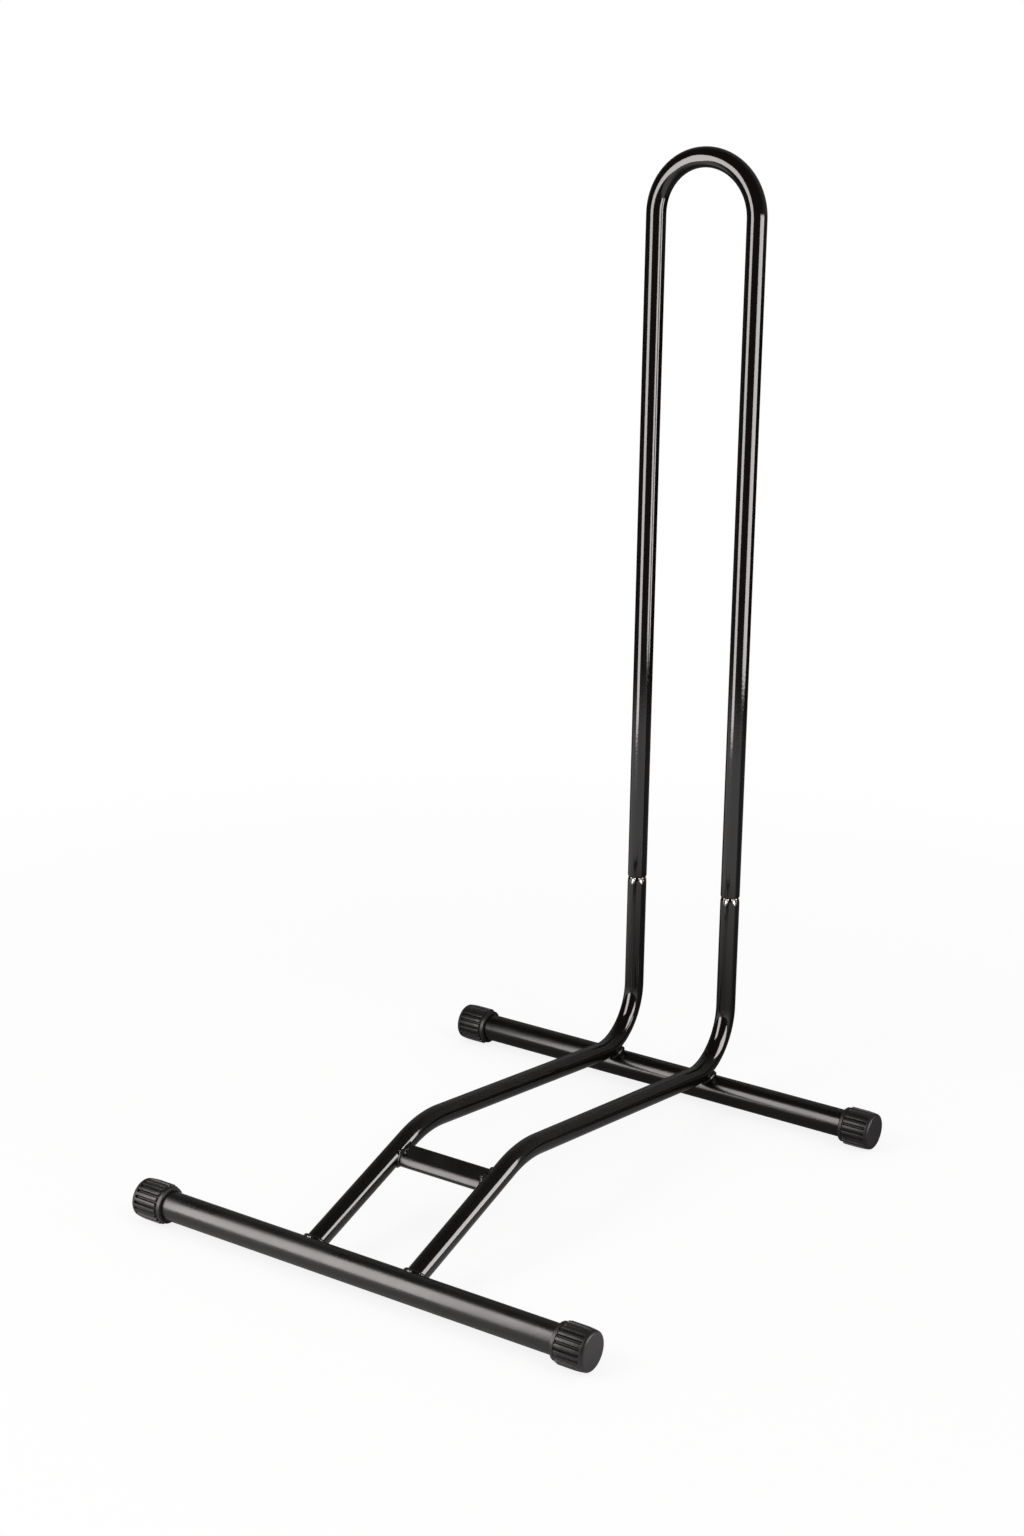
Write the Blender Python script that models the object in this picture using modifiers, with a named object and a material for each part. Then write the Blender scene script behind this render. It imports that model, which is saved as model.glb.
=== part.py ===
"""Floor bike stand: two capped crossbars, two bent side rails with a brace between them,
and a tall hoop that plugs onto the rails' upright ends.

Metres, +Z up. X runs along the crossbars, and the wheel rolls in from -Y.
"""

import math

import bmesh
import bpy
from mathutils import Matrix, Vector

# Overall
OVERALL_HEIGHT = 0.780
GAP = 0.0003  # left between neighbouring pieces, in place of touching faces

# Crossbars and their caps
BAR_D = 0.0225
BAR_WALL = 0.0012
BAR_SPACING = 0.426  # front bar to rear bar, axis to axis
WIDTH = 0.402  # over the caps
CAP_WALL = 0.00255  # of the plain collar at a cap's mouth
CAP_COLLAR_LENGTH = 0.0032
CAP_RIB_HEIGHT = 0.0014  # above the collar; the ribs rest on the floor
CAP_LENGTH = 0.0270
CAP_END_WALL = 0.0030
CAP_TAPER_START = 0.0170  # from the mouth; the ribs are cylindrical up to here
CAP_TAPER_DROP = 0.0004
CAP_EDGE_RADIUS = 0.0018
CAP_COLLAR_BEVEL = 0.0006
CAP_RIBS = 20
CAP_GROOVE_DEPTH = 0.0009
CAP_GROOVE_RADIUS = 0.0008
CAP_GROOVE_END = 0.0036  # plain length left between a groove and the end face

# Side rails
RAIL_D = 0.016
RAIL_WALL = 0.0012
RAIL_SPACING = 0.090  # centre to centre, so a tyre up to 60 mm goes between
RAIL_PEAK_Y = 0.145  # corner of the front bend, behind the front bar's axis
RAIL_PEAK_Z = 0.0499  # the same corner, above the bars' axes
FRONT_BEND_R = 0.092
POST_SET_BACK = 0.0278  # the upright parts stand this far behind the rear bar's axis
REAR_BEND_R = 0.047

# Brace between the rails
BRACE_D = 0.019
BRACE_WALL = 0.0012
BRACE_Y = 0.1093  # behind the front bar's axis
BRACE_STOP = 0.0036  # the mouth's lips end this far short of the rail's axis

# Plug joint between the rails and the hoop
SEAM_Z = 0.1607  # above the bars' axes
SPIGOT_CLEARANCE = 0.0002  # all round, inside the hoop's tube
SPIGOT_WALL = 0.0018  # thickened where the tube is swaged down
SPIGOT_LENGTH = 0.038
SPIGOT_LEAD = 0.0012  # cone at the tip
SHOULDER_LENGTH = 0.0022  # cone from the spigot out to the full tube
NECK_LENGTH = 0.004  # cone inside the tube, below the spigot's bore
FLUTES = 6
FLUTE_RADIUS = 0.0028
FLUTE_DEPTH = 0.0020  # below the full tube's surface
FLUTE_RUN_OUT = 0.0055  # pointed end of each flute, below the seam
HOOP_ROLL = 0.0007  # how far the hoop's ends are rolled in
HOOP_ROLL_LENGTH = 0.0010

# Weld beads
WELD_R = 0.0024
BRACE_WELD_R = 0.0028
REAR_WELD_R = 0.0026
REAR_WELD_ACROSS = 0.82  # the rear beads' oval reaches this share of the rail's radius
REAR_WELD_ALONG = 0.75  # and this share of the bar's radius
REAR_WELD_SPAN = math.radians(62)  # each way from the middle of a bead

# Facets
RAIL_SIDES = 20
BORE_SIDES = 16
BAR_SIDES = 32
WELD_SIDES = 8
GROOVE_SIDES = 6
FRONT_BEND_STEPS = 5
REAR_BEND_STEPS = 14
HOOP_STEPS = 18
WELD_STEPS = 20
REAR_WELD_STEPS = 10
SHARP_ANGLE = math.radians(35)  # edges bent more than this are shaded as edges
WELD_TOGETHER = 0.000001  # points of one solid closer than this become one
OVERSHOOT = 1.1  # cutters are longer than what they cut by this factor

# Worked out from the sizes above
CAP_SIDES = 2 * CAP_RIBS  # a flat on each rib and one over each groove

BAR_R = BAR_D / 2
RAIL_R = RAIL_D / 2
RAIL_BORE_R = RAIL_R - RAIL_WALL
SPIGOT_R = RAIL_BORE_R - SPIGOT_CLEARANCE
BRACE_R = BRACE_D / 2
CAP_BORE_R = BAR_R + GAP
CAP_COLLAR_R = CAP_BORE_R + CAP_WALL
CAP_R = CAP_COLLAR_R + CAP_RIB_HEIGHT
BAR_LENGTH = WIDTH - 2 * (CAP_END_WALL + GAP)
RAIL_X = RAIL_SPACING / 2
BAR_Z = CAP_R * math.cos(math.pi / CAP_SIDES)  # each cap stands on the flat of its lowest rib
POST_Y = BAR_SPACING + POST_SET_BACK
FRONT_Y = -(POST_Y + RAIL_R - BAR_Z) / 2  # puts the whole object's middle over the origin
REAR_Y = FRONT_Y + BAR_SPACING
HOOP_CENTRE_Z = OVERALL_HEIGHT - RAIL_R - RAIL_X


def clear_scene():
    for obj in list(bpy.data.objects):
        bpy.data.objects.remove(obj)


def new_collection(name):
    collection = bpy.data.collections.new(name)
    bpy.context.scene.collection.children.link(collection)
    return collection


def new_material(name, colour, roughness, metallic=0.0):
    material = bpy.data.materials.new(name)
    material.use_nodes = True
    shader = material.node_tree.nodes["Principled BSDF"]
    shader.inputs["Base Color"].default_value = (*colour, 1.0)
    shader.inputs["Roughness"].default_value = roughness
    shader.inputs["Metallic"].default_value = metallic
    return material


def part_from(name, mesh, material):
    mesh.materials.append(material)
    mesh.shade_smooth()
    mesh.set_sharp_from_angle(angle=SHARP_ANGLE)
    obj = bpy.data.objects.new(name, mesh)
    STAND.objects.link(obj)
    return obj


def cutter_from(name, mesh):
    obj = bpy.data.objects.new(name, mesh)
    CUTTERS.objects.link(obj)
    obj.hide_render = True
    obj.display_type = "WIRE"
    return obj


def cylinder_mesh(name, radius, length, sides, matrices):
    """Solid cylinders along their own Z, one for each matrix."""
    shape = bmesh.new()
    for matrix in matrices:
        bmesh.ops.create_cone(
            shape, cap_ends=True, segments=sides, radius1=radius, radius2=radius,
            depth=length, matrix=matrix,
        )
    mesh = bpy.data.meshes.new(name)
    shape.to_mesh(mesh)
    shape.free()
    return mesh


def swept_mesh(name, points, radii, sides, closed=False):
    """A round solid along the points, with its own radius at each."""
    curve = bpy.data.curves.new(name, "CURVE")
    curve.dimensions = "3D"
    curve.bevel_depth = 1.0
    curve.bevel_resolution = (sides - 4) // 2
    curve.use_fill_caps = not closed
    spline = curve.splines.new("POLY")
    spline.points.add(len(points) - 1)
    spline.use_cyclic_u = closed
    for place, point, radius in zip(spline.points, points, radii):
        place.co = (*point, 1.0)
        place.radius = radius
    obj = bpy.data.objects.new(name, curve)
    CUTTERS.objects.link(obj)
    mesh = bpy.data.meshes.new_from_object(obj)
    bpy.data.objects.remove(obj)
    shape = bmesh.new()
    shape.from_mesh(mesh)
    bmesh.ops.remove_doubles(shape, verts=shape.verts, dist=WELD_TOGETHER)
    bmesh.ops.recalc_face_normals(shape, faces=shape.faces)
    shape.to_mesh(mesh)
    shape.free()
    return mesh


def cut(obj, *cutters):
    for cutter in cutters:
        step = obj.modifiers.new(cutter.name, "BOOLEAN")
        step.operation = "DIFFERENCE"
        step.solver = "EXACT"
        step.object = cutter


def along_x(x, y, z):
    return Matrix.Translation((x, y, z)) @ Matrix.Rotation(math.pi / 2, 4, "Y")


def bent_line(corners, radii, steps):
    """Points of a line through the corners, each inner corner rounded to its radius."""
    line = [corners[0]]
    for before, corner, after, radius, count in zip(
        corners, corners[1:], corners[2:], radii, steps
    ):
        back = (before - corner).normalized()
        ahead = (after - corner).normalized()
        half = back.angle(ahead) / 2
        centre = corner + (back + ahead).normalized() * radius / math.sin(half)
        start = corner + back * radius / math.tan(half) - centre
        turn = math.pi - 2 * half
        axis = back.cross(ahead).normalized()
        for step in range(count + 1):
            line.append(centre + Matrix.Rotation(-turn * step / count, 3, axis) @ start)
    line.append(corners[-1])
    return line


def rear_bend_centre(corner_z):
    """Centre of the rear bend when its corner is at this height above the bars' axes."""
    fall = math.atan2(RAIL_PEAK_Z - corner_z, POST_Y - RAIL_PEAK_Y)
    rise = REAR_BEND_R * math.tan(math.pi / 4 + fall / 2)
    return Vector((POST_Y - REAR_BEND_R, corner_z + rise))


def rear_corner_height():
    """Height of the rear bend's corner that makes the bend rest on the rear bar."""
    wanted = REAR_BEND_R + BAR_R + RAIL_R + GAP
    low, high = -0.02, 0.04
    for _ in range(50):
        middle = (low + high) / 2
        if (rear_bend_centre(middle) - Vector((BAR_SPACING, 0))).length < wanted:
            low = middle
        else:
            high = middle
    return middle


def rail_line(x, end_z):
    """A rail's centre line, from the front bar's axis to a height above the bars' axes."""
    corners = ((0, 0), (RAIL_PEAK_Y, RAIL_PEAK_Z), (POST_Y, REAR_CORNER_Z), (POST_Y, end_z))
    corners = [Vector((x, FRONT_Y + y, BAR_Z + z)) for y, z in corners]
    return bent_line(
        corners, (FRONT_BEND_R, REAR_BEND_R), (FRONT_BEND_STEPS, REAR_BEND_STEPS)
    )


def crossbar(name, y):
    mesh = cylinder_mesh(name, BAR_R, BAR_LENGTH, BAR_SIDES, [along_x(0, y, BAR_Z)])
    bar = part_from(name, mesh, PAINT)
    bore = cylinder_mesh(
        name + "_bore", BAR_R - BAR_WALL, BAR_LENGTH * OVERSHOOT, BORE_SIDES,
        [along_x(0, y, BAR_Z)],
    )
    cut(bar, cutter_from(name + "_bore", bore))


def crossbar_envelope(name, y):
    """The crossbar with the gap added all round, for cutting its neighbours."""
    mesh = cylinder_mesh(name, BAR_R + GAP, WIDTH, BAR_SIDES, [along_x(0, y, BAR_Z)])
    return cutter_from(name, mesh)


def cap_profile():
    """Half section of a cap: distance from its axis, and height from its mouth."""
    edge = Vector((CAP_R - CAP_TAPER_DROP - CAP_EDGE_RADIUS, CAP_LENGTH - CAP_EDGE_RADIUS))
    section = [(0, CAP_LENGTH)]
    for degrees in (90, 45, 0):
        angle = math.radians(degrees)
        section.append(edge + CAP_EDGE_RADIUS * Vector((math.cos(angle), math.sin(angle))))
    section += [
        (CAP_R, CAP_TAPER_START),
        (CAP_R, CAP_COLLAR_LENGTH),
        (CAP_COLLAR_R, CAP_COLLAR_LENGTH),
        (CAP_COLLAR_R, CAP_COLLAR_BEVEL),
        (CAP_COLLAR_R - CAP_COLLAR_BEVEL, 0),
        (CAP_BORE_R, 0),
        (CAP_BORE_R, CAP_LENGTH - CAP_END_WALL),
        (0, CAP_LENGTH - CAP_END_WALL),
    ]
    return section


def cap(name, side, y):
    """A ribbed end cap, turned from its half section and then grooved."""
    profile = cap_profile()
    mesh = bpy.data.meshes.new(name)
    edges = [(i, i + 1) for i in range(len(profile) - 1)]
    lean = math.pi / CAP_SIDES
    points = [(r * math.cos(lean), r * math.sin(lean), z) for r, z in profile]
    mesh.from_pydata(points, edges, [])
    obj = part_from(name, mesh, PLASTIC)
    mouth_x = side * (WIDTH / 2 - CAP_LENGTH)
    turn = Matrix.Rotation(side * math.pi / 2, 4, "Y")
    obj.matrix_world = Matrix.Translation((mouth_x, y, BAR_Z)) @ turn
    lathe = obj.modifiers.new("turned", "SCREW")
    lathe.axis = "Z"
    lathe.steps = lathe.render_steps = CAP_SIDES
    lathe.use_merge_vertices = True
    lathe.merge_threshold = WELD_TOGETHER
    grooves_end = CAP_LENGTH - CAP_GROOVE_END
    length = grooves_end - CAP_COLLAR_LENGTH / 2
    radius = CAP_R - CAP_GROOVE_DEPTH + CAP_GROOVE_RADIUS
    places = []
    for number in range(CAP_RIBS):
        spin = Matrix.Rotation(2 * math.pi * (number + 0.5) / CAP_RIBS, 4, "Z")
        places.append(spin @ Matrix.Translation((radius, 0, grooves_end - length / 2)))
    grooves = cylinder_mesh(name + "_grooves", CAP_GROOVE_RADIUS, length, GROOVE_SIDES, places)
    cutter = cutter_from(name + "_grooves", grooves)
    cutter.matrix_world = obj.matrix_world
    cut(obj, cutter)


def flute_cutters(name, x):
    """Rods that press the flutes into a spigot; each ends in a point on the full tube."""
    radial = RAIL_R - FLUTE_DEPTH + FLUTE_RADIUS
    seam = BAR_Z + SEAM_Z
    top = seam + SPIGOT_LENGTH * OVERSHOOT
    heights = (seam - FLUTE_RUN_OUT, seam - SHOULDER_LENGTH / 2, top)
    pointed = FLUTE_RADIUS - FLUTE_DEPTH
    joined = bmesh.new()
    for number in range(FLUTES):
        angle = 2 * math.pi * (number + 0.5) / FLUTES
        across = Vector((math.cos(angle), math.sin(angle), 0)) * radial
        points = [Vector((x, FRONT_Y + POST_Y, z)) + across for z in heights]
        flute = swept_mesh(name, points, (pointed, FLUTE_RADIUS, FLUTE_RADIUS), WELD_SIDES)
        joined.from_mesh(flute)
    mesh = bpy.data.meshes.new(name)
    joined.to_mesh(mesh)
    joined.free()
    return cutter_from(name, mesh)


def rail(name, x, front_envelope):
    """A bent rail: coped onto the front bar, swaged down to a fluted spigot at its top."""
    top = SEAM_Z + SPIGOT_LENGTH
    line = rail_line(x, SEAM_Z - SHOULDER_LENGTH)
    radii = [RAIL_R] * len(line)
    post = Vector((x, FRONT_Y + POST_Y, BAR_Z))
    tip_r = SPIGOT_R - SPIGOT_LEAD / 2
    for height, radius in ((SEAM_Z, SPIGOT_R), (top - SPIGOT_LEAD, SPIGOT_R), (top, tip_r)):
        line.append(post + Vector((0, 0, height)))
        radii.append(radius)
    obj = part_from(name, swept_mesh(name, line, radii, RAIL_SIDES), PAINT)
    neck = SEAM_Z - FLUTE_RUN_OUT
    bore_line = rail_line(x, neck - NECK_LENGTH)
    bore_radii = [RAIL_BORE_R] * len(bore_line)
    for height in (neck, top + SPIGOT_LEAD):
        bore_line.append(post + Vector((0, 0, height)))
        bore_radii.append(SPIGOT_R - SPIGOT_WALL)
    bore = swept_mesh(name + "_bore", bore_line, bore_radii, BORE_SIDES)
    cut(
        obj, front_envelope, cutter_from(name + "_bore", bore),
        flute_cutters(name + "_flutes", x),
    )


def rail_envelope(name, x):
    line = rail_line(x, SEAM_Z - SHOULDER_LENGTH)
    mesh = swept_mesh(name, line, [RAIL_R + GAP] * len(line), RAIL_SIDES)
    return cutter_from(name, mesh)


def brace_place():
    """Where the brace's axis crosses the YZ plane: on the rails' sloping axes."""
    return FRONT_Y + BRACE_Y, BAR_Z + BRACE_Y * RAIL_PEAK_Z / RAIL_PEAK_Y


def brace(name, envelopes):
    y, z = brace_place()
    length = 2 * (RAIL_X - BRACE_STOP)
    mesh = cylinder_mesh(name, BRACE_R, length, RAIL_SIDES, [along_x(0, y, z)])
    obj = part_from(name, mesh, PAINT)
    bore = cylinder_mesh(
        name + "_bore", BRACE_R - BRACE_WALL, length * OVERSHOOT, BORE_SIDES,
        [along_x(0, y, z)],
    )
    cut(obj, cutter_from(name + "_bore", bore), *envelopes)


def hoop(name):
    """The upper hoop: one tube bent through half a circle, its open ends rolled in a little."""
    y = FRONT_Y + POST_Y
    shoulder_slope = (RAIL_R - SPIGOT_R) / SHOULDER_LENGTH
    seat = BAR_Z + SEAM_Z - SPIGOT_CLEARANCE / shoulder_slope + GAP
    ends = []
    for degrees in (0, 45, 90):
        angle = math.radians(degrees)
        rolled = HOOP_ROLL * (1 - math.sin(angle))
        ends.append((seat + HOOP_ROLL_LENGTH * (1 - math.cos(angle)), RAIL_R - rolled))
    line = [Vector((RAIL_X, y, z)) for z, _ in ends]
    radii = [radius for _, radius in ends]
    for step in range(HOOP_STEPS + 1):
        angle = math.pi * step / HOOP_STEPS
        across = RAIL_X * math.cos(angle)
        line.append(Vector((across, y, HOOP_CENTRE_Z + RAIL_X * math.sin(angle))))
        radii.append(RAIL_R)
    line += [Vector((-RAIL_X, y, z)) for z, _ in reversed(ends)]
    radii += [radius for _, radius in reversed(ends)]
    mesh = swept_mesh(name, line, radii, RAIL_SIDES)
    seat_middle = Vector((0, y, seat))
    mesh.transform(Matrix.Translation(-seat_middle))
    obj = part_from(name, mesh, PAINT)
    obj.location = seat_middle
    below = Vector((0, 0, -HOOP_ROLL_LENGTH))
    bore_line = [line[0] + below] + line[len(ends):-len(ends)] + [line[-1] + below]
    bore = swept_mesh(name + "_bore", bore_line, [RAIL_BORE_R] * len(bore_line), BORE_SIDES)
    cut(obj, cutter_from(name + "_bore", bore))


def front_weld(name, x, *envelopes):
    """A bead round the saddle where a rail's end meets the front bar."""
    rise = math.atan2(RAIL_PEAK_Z, RAIL_PEAK_Y)
    along = Vector((0, math.cos(rise), math.sin(rise)))
    up = Vector((0, -math.sin(rise), math.cos(rise)))
    points = []
    for step in range(WELD_STEPS):
        angle = 2 * math.pi * step / WELD_STEPS
        height = RAIL_R * math.sin(angle)
        out = math.sqrt(BAR_R**2 - height**2)
        side = Vector((RAIL_R * math.cos(angle), 0, 0))
        points.append(Vector((x, FRONT_Y, BAR_Z)) + along * out + up * height + side)
    mesh = swept_mesh(name, points, [WELD_R] * WELD_STEPS, WELD_SIDES, closed=True)
    cut(part_from(name, mesh, WELD), *envelopes)


def brace_weld(name, side, rail_cutter):
    """A bead round one end of the brace, on the inner face of the rail."""
    y, z = brace_place()
    points = []
    for step in range(WELD_STEPS):
        angle = 2 * math.pi * (step + 0.5) / WELD_STEPS
        height = BRACE_R * math.sin(angle)
        reach = BRACE_STOP + (RAIL_R - BRACE_STOP) * abs(math.cos(angle)) ** 3
        points.append(Vector((side * (RAIL_X - reach), y + BRACE_R * math.cos(angle), z + height)))
    mesh = swept_mesh(name, points, [BRACE_WELD_R] * WELD_STEPS, WELD_SIDES, closed=True)
    length = 2 * (RAIL_X - BRACE_STOP + GAP)
    body = cylinder_mesh(name + "_brace", BRACE_R + GAP, length, RAIL_SIDES, [along_x(0, y, z)])
    cut(part_from(name, mesh, WELD), rail_cutter, cutter_from(name + "_brace", body))


def rear_weld(name, x, side, *envelopes):
    """A fillet along one side of the place where a rail rests on the rear bar."""
    centre = rear_bend_centre(REAR_CORNER_Z) - Vector((BAR_SPACING, 0))
    lean = math.atan2(-centre.x, centre.y)
    up = Vector((0, -math.sin(lean), math.cos(lean)))
    along = Vector((0, math.cos(lean), math.sin(lean)))
    points = []
    radii = []
    for step in range(REAR_WELD_STEPS + 1):
        angle = REAR_WELD_SPAN * (2 * step / REAR_WELD_STEPS - 1)
        across = REAR_WELD_ACROSS * RAIL_R * math.cos(angle)
        forward = REAR_WELD_ALONG * BAR_R * math.sin(angle)
        rail_gap = RAIL_R - math.sqrt(RAIL_R**2 - across**2)
        bar_gap = BAR_R - math.sqrt(BAR_R**2 - forward**2)
        height = BAR_R + GAP / 2 + (rail_gap - bar_gap) / 2
        points.append(
            Vector((x + side * across, REAR_Y, BAR_Z)) + along * forward + up * height
        )
        radii.append(REAR_WELD_R * (1 + math.cos(angle)) / 2)
    mesh = swept_mesh(name, points, radii, WELD_SIDES)
    cut(part_from(name, mesh, WELD), *envelopes)


def build():
    crossbar("front_crossbar", FRONT_Y)
    crossbar("rear_crossbar", REAR_Y)
    front = crossbar_envelope("front_crossbar_envelope", FRONT_Y)
    rear = crossbar_envelope("rear_crossbar_envelope", REAR_Y)
    sides = {"left": -1, "right": 1}
    envelopes = {}
    for word, side in sides.items():
        cap("cap_front_" + word, side, FRONT_Y)
        cap("cap_rear_" + word, side, REAR_Y)
        rail(word + "_rail", side * RAIL_X, front)
        envelopes[word] = rail_envelope(word + "_rail_envelope", side * RAIL_X)
    brace("brace_tube", envelopes.values())
    hoop("upper_hoop")
    for word, side in sides.items():
        x = side * RAIL_X
        front_weld("weld_front_" + word, x, front, envelopes[word])
        brace_weld("weld_brace_" + word, side, envelopes[word])
        rear_weld("weld_rear_" + word + "_outer", x, side, rear, envelopes[word])
        rear_weld("weld_rear_" + word + "_inner", x, -side, rear, envelopes[word])


clear_scene()
STAND = new_collection("floor_bike_stand")
CUTTERS = new_collection("cutters")
CUTTERS.hide_render = True
PAINT = new_material("black_paint", (0.020, 0.019, 0.018), 0.32)
PLASTIC = new_material("black_plastic", (0.035, 0.034, 0.035), 0.55)
WELD = new_material("painted_weld", (0.022, 0.020, 0.019), 0.38)
REAR_CORNER_Z = rear_corner_height()
build()
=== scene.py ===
"""Dressed scene of a floor bike stand: a welded base of black coated steel tube on four ribbed
plastic caps, and a tall hoop of the same tube that plugs onto the base's two upright ends.
"""

import math

import bmesh
import bpy
from mathutils import Matrix, Vector


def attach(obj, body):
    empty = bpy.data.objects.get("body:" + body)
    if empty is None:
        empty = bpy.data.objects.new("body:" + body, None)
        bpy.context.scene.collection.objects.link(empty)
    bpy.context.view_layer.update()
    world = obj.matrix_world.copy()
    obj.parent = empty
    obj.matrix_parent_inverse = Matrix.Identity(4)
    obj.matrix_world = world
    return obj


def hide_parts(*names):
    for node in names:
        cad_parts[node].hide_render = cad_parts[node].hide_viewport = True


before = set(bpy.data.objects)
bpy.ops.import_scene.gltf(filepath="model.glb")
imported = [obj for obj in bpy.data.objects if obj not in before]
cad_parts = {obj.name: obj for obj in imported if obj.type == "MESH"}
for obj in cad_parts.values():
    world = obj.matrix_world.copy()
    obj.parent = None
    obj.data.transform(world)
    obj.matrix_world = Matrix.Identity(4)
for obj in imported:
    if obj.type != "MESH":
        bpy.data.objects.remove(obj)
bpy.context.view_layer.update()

# The two crossbars.
# Straight lengths of welded steel tube, 22.5 mm across with a 1.2 mm wall, sawn off square and
# powder coated black with the rest of the base. Their ends sit deep inside the plastic caps.

front_y = -0.223174
rear_y = 0.202826
bar_z = 0.015452
bar_radius = 0.01125
bar_length = 0.3954
tube_wall = 0.0012
tube_sides = 96
sawn_chamfer = 0.0003


def linear(hex_colour):
    """An sRGB hex colour as the linear numbers that a shader takes."""
    channels = [int(hex_colour[place:place + 2], 16) / 255 for place in (1, 3, 5)]
    return [c / 12.92 if c <= 0.04045 else ((c + 0.055) / 1.055) ** 2.4 for c in channels] + [1]


def add_node(tree, kind, settings=None, links=None):
    """Adds one node. Settings name its own values or its sockets, and links feed its sockets."""
    node = tree.nodes.new(kind)
    for name, value in (settings or {}).items():
        if isinstance(name, str) and hasattr(node, name):
            setattr(node, name, value)
        else:
            node.inputs[name].default_value = value
    for name, source in (links or {}).items():
        tree.links.new(source, node.inputs[name])
    return node


def new_material(name):
    """An empty material with its output node, and its node tree."""
    material = bpy.data.materials.new(name)
    material.use_nodes = True
    material.node_tree.nodes.clear()
    return material, material.node_tree


# Black polyester powder coat, sprayed dry on blasted tube and baked. It gives the eye a warm
# near-black with a skin that mirrors the lamps softly: a faint orange peel of a few millimetres
# breaks up the edges of reflections, and the gloss changes slowly along the tube.
def powder_coat(name, glossiest, dullest, ior, peel_strength):
    """The coat, with the roughness of its glossiest and dullest places, how strongly it mirrors
    and how strong its orange peel is."""
    material, tree = new_material(name)
    place = add_node(tree, "ShaderNodeTexCoord").outputs["Object"]
    cloud = add_node(
        tree, "ShaderNodeTexNoise", {"Scale": 38.0, "Detail": 3.0}, {"Vector": place}
    )
    tone = add_node(
        tree, "ShaderNodeMix",
        {"data_type": "RGBA", 6: linear("#0a0706"), 7: linear("#110d0b")},
        {0: cloud.outputs["Fac"]},
    )
    gloss = add_node(
        tree, "ShaderNodeMapRange",
        {"From Min": 0.3, "From Max": 0.7, "To Min": glossiest, "To Max": dullest},
        {"Value": cloud.outputs["Fac"]},
    )
    peel = add_node(
        tree, "ShaderNodeTexNoise", {"Scale": 420.0, "Detail": 2.0}, {"Vector": place}
    )
    skin = add_node(
        tree, "ShaderNodeBump", {"Strength": peel_strength, "Distance": 0.00012},
        {"Height": peel.outputs["Fac"]},
    )
    coat = add_node(
        tree, "ShaderNodeBsdfPrincipled", {"IOR": ior},
        {"Base Color": tone.outputs[2], "Roughness": gloss.outputs[0],
         "Normal": skin.outputs[0]},
    )
    add_node(tree, "ShaderNodeOutputMaterial", {}, {"Surface": coat.outputs[0]})
    return material


# The front bar and the brace have the dullest skin, with broad soft reflections, and the rear
# bar a smoother one. On the bent tubes it flowed out best: narrow reflections with firm edges.
satin_coat = powder_coat("satin_powder_coat", 0.26, 0.35, 1.5, 0.35)
semi_gloss_coat = powder_coat("semi_gloss_powder_coat", 0.19, 0.25, 1.45, 0.3)
glossy_coat = powder_coat("glossy_powder_coat", 0.07, 0.11, 1.57, 0.2)


def start_ring(name, radius, centre, along, sides=tube_sides):
    """A ring of edges across a tube's line, left selected in edit mode to be drawn out."""
    bpy.ops.object.select_all(action="DESELECT")
    turn = Vector((0, 0, 1)).rotation_difference(along).to_euler()
    bpy.ops.mesh.primitive_circle_add(
        vertices=sides, radius=radius, location=centre, rotation=turn
    )
    ring = bpy.context.object
    ring.name = name
    ring.data.name = name
    bpy.ops.object.transform_apply(location=True, rotation=True, scale=True)
    bpy.ops.object.mode_set(mode="EDIT")
    bpy.ops.mesh.select_mode(type="VERT")
    bpy.ops.mesh.select_all(action="SELECT")
    return ring


def draw_out(move, steps=1):
    """Extrudes what is selected along a line, in equal steps."""
    for _ in range(steps):
        bpy.ops.mesh.extrude_region_move(
            TRANSFORM_OT_translate={"value": Vector(move) / steps}
        )


def face_outwards():
    """Merges doubled points and turns every face outwards, then leaves edit mode."""
    bpy.ops.mesh.select_all(action="SELECT")
    bpy.ops.mesh.remove_doubles(threshold=0.000001)
    bpy.ops.mesh.normals_make_consistent(inside=False)
    bpy.ops.object.mode_set(mode="OBJECT")


def give_wall(tube, wall):
    """Thickens a tube's skin inwards and closes its ends."""
    shell = tube.modifiers.new("wall", "SOLIDIFY")
    shell.thickness = wall
    shell.offset = -1.0
    bpy.ops.object.modifier_apply(modifier="wall")


def chamfer_ends(tube, width):
    """Breaks the sharp edges of a tube's sawn ends."""
    edge = tube.modifiers.new("edge", "BEVEL")
    edge.width = width
    edge.segments = 2
    edge.limit_method = "ANGLE"
    edge.angle_limit = math.radians(50)
    bpy.ops.object.modifier_apply(modifier="edge")


def finish(piece, material, body, node):
    """Gives a piece its finish, ties it to its body and hides the node's own part, which it
    stands in for.
    """
    bpy.context.view_layer.objects.active = piece
    bpy.ops.object.select_all(action="DESELECT")
    piece.select_set(True)
    bpy.ops.object.shade_smooth_by_angle(angle=math.radians(35))
    if not piece.data.materials:
        piece.data.materials.append(material)
    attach(piece, body)
    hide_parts(node)


def copy_of(piece, name, move=(0, 0, 0), turn=0.0, mirrored=False):
    """A copy of a piece with its own mesh, moved, turned about Z or mirrored across X = 0."""
    bpy.ops.object.select_all(action="DESELECT")
    piece.select_set(True)
    bpy.context.view_layer.objects.active = piece
    bpy.ops.object.duplicate(linked=False)
    twin = bpy.context.object
    twin.name = name
    twin.data.name = name
    twin.location = move
    twin.rotation_euler.z = turn
    twin.scale.x = -1.0 if mirrored else 1.0
    bpy.ops.object.transform_apply(location=True, rotation=True, scale=True)
    if mirrored:
        bpy.ops.object.mode_set(mode="EDIT")
        face_outwards()
    return twin


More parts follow.
